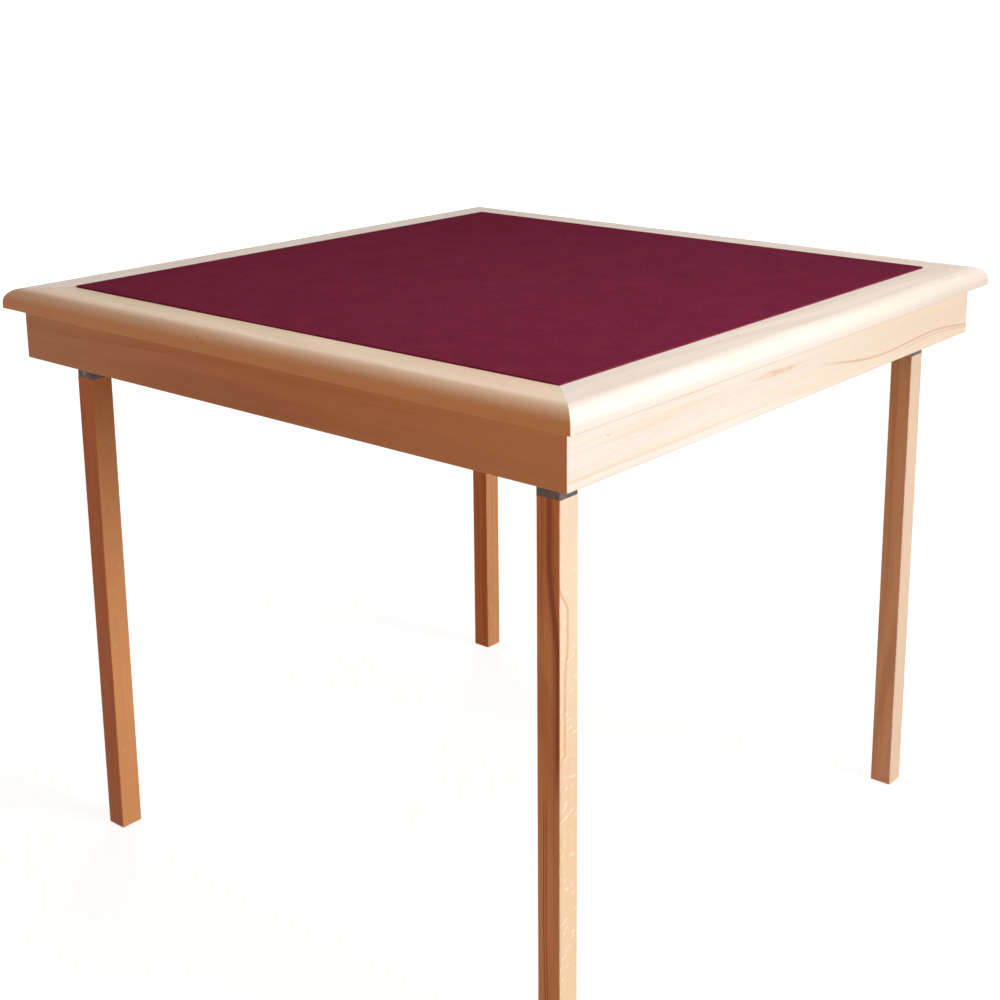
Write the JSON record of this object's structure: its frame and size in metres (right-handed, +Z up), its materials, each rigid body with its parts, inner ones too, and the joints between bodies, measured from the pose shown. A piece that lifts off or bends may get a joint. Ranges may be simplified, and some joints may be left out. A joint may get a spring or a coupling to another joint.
{
  "type": "folding card table",
  "caption": "Square folding card table: mitred wooden frame round a felt playing panel, plain aprons, and legs that fold up inside on sprung steel brackets.",
  "frame": {"origin": "on the floor under the middle of the table", "axes": "+Z up; +X to the right and -Y to the front, square to the table's sides"},
  "size_m": [0.9, 0.9, 0.741],
  "materials": {
    "beech_rail": "clear satin varnish",
    "beech_leg": "clear satin varnish, redder wood",
    "board": "plain plywood",
    "felt": "short burgundy wool felt",
    "pressed_steel": "zinc plated pressed steel",
    "spring_steel": "blued spring steel",
    "screw_steel": "zinc plated screws",
    "glide_plastic": "pale nylon"
  },
  "bodies": {
    "tabletop": {"frame_rail_front": "beech_rail", "apron_front": "beech_rail", "cleat_front": "beech_rail", "frame_rail_right": "beech_rail", "apron_right": "beech_rail", "cleat_right": "beech_rail", "frame_rail_back": "beech_rail", "apron_back": "beech_rail", "cleat_back": "beech_rail", "frame_rail_left": "beech_rail", "apron_left": "beech_rail", "cleat_left": "beech_rail", "playing_panel": "board", "felt_cover": "felt", "mitre_splines": "beech_rail", "panel_screws": "screw_steel", "rail_screws": "screw_steel", "apron_screws": "screw_steel", "bracket_screws": "screw_steel", "corner_block_front_left": "beech_rail", "leg_bracket_front_left": "pressed_steel", "pivot_pin_front_left": "pressed_steel", "corner_block_front_right": "beech_rail", "leg_bracket_front_right": "pressed_steel", "pivot_pin_front_right": "pressed_steel", "corner_block_back_right": "beech_rail", "leg_bracket_back_right": "pressed_steel", "pivot_pin_back_right": "pressed_steel", "corner_block_back_left": "beech_rail", "leg_bracket_back_left": "pressed_steel", "pivot_pin_back_left": "pressed_steel"},
    "folding_leg_front_left": {"leg_front_left": "beech_leg", "leg_shoe_front_left": "pressed_steel", "shoe_screws_front_left": "screw_steel", "spring_rivet_front_left": "pressed_steel", "glide_front_left": "glide_plastic"},
    "lock_front_left": {"lock_spring_front_left": "spring_steel"},
    "folding_leg_front_right": {"leg_front_right": "beech_leg", "leg_shoe_front_right": "pressed_steel", "shoe_screws_front_right": "screw_steel", "spring_rivet_front_right": "pressed_steel", "glide_front_right": "glide_plastic"},
    "lock_front_right": {"lock_spring_front_right": "spring_steel"},
    "folding_leg_back_right": {"leg_back_right": "beech_leg", "leg_shoe_back_right": "pressed_steel", "shoe_screws_back_right": "screw_steel", "spring_rivet_back_right": "pressed_steel", "glide_back_right": "glide_plastic"},
    "lock_back_right": {"lock_spring_back_right": "spring_steel"},
    "folding_leg_back_left": {"leg_back_left": "beech_leg", "leg_shoe_back_left": "pressed_steel", "shoe_screws_back_left": "screw_steel", "spring_rivet_back_left": "pressed_steel", "glide_back_left": "glide_plastic"},
    "lock_back_left": {"lock_spring_back_left": "spring_steel"}
  },
  "joints": [
    {"name": "leg_fold_front_left", "type": "hinge", "parent": "tabletop", "child": "folding_leg_front_left", "pos_m": [-0.375, -0.375, 0.684], "axis": [1, 0, 0], "range_deg": [0, 90]},
    {"name": "lock_press_front_left", "type": "hinge", "parent": "folding_leg_front_left", "child": "lock_front_left", "pos_m": [-0.36165, -0.375, 0.628], "axis": [0, -1, 0], "range_deg": [0, 6], "stiffness_Nm_per_rad": 0.4, "springref_deg": -5.73, "deforming": ["lock_spring_front_left"]},
    {"name": "leg_fold_front_right", "type": "hinge", "parent": "tabletop", "child": "folding_leg_front_right", "pos_m": [0.375, -0.375, 0.684], "axis": [0, 1, 0], "range_deg": [0, 90]},
    {"name": "lock_press_front_right", "type": "hinge", "parent": "folding_leg_front_right", "child": "lock_front_right", "pos_m": [0.375, -0.36165, 0.628], "axis": [1, 0, 0], "range_deg": [0, 6], "stiffness_Nm_per_rad": 0.4, "springref_deg": -5.73, "deforming": ["lock_spring_front_right"]},
    {"name": "leg_fold_back_right", "type": "hinge", "parent": "tabletop", "child": "folding_leg_back_right", "pos_m": [0.375, 0.375, 0.684], "axis": [-1, 0, 0], "range_deg": [0, 90]},
    {"name": "lock_press_back_right", "type": "hinge", "parent": "folding_leg_back_right", "child": "lock_back_right", "pos_m": [0.36165, 0.375, 0.628], "axis": [0, 1, 0], "range_deg": [0, 6], "stiffness_Nm_per_rad": 0.4, "springref_deg": -5.73, "deforming": ["lock_spring_back_right"]},
    {"name": "leg_fold_back_left", "type": "hinge", "parent": "tabletop", "child": "folding_leg_back_left", "pos_m": [-0.375, 0.375, 0.684], "axis": [0, -1, 0], "range_deg": [0, 90]},
    {"name": "lock_press_back_left", "type": "hinge", "parent": "folding_leg_back_left", "child": "lock_back_left", "pos_m": [-0.375, 0.36165, 0.628], "axis": [-1, 0, 0], "range_deg": [0, 6], "stiffness_Nm_per_rad": 0.4, "springref_deg": -5.73, "deforming": ["lock_spring_back_left"]}
  ]
}
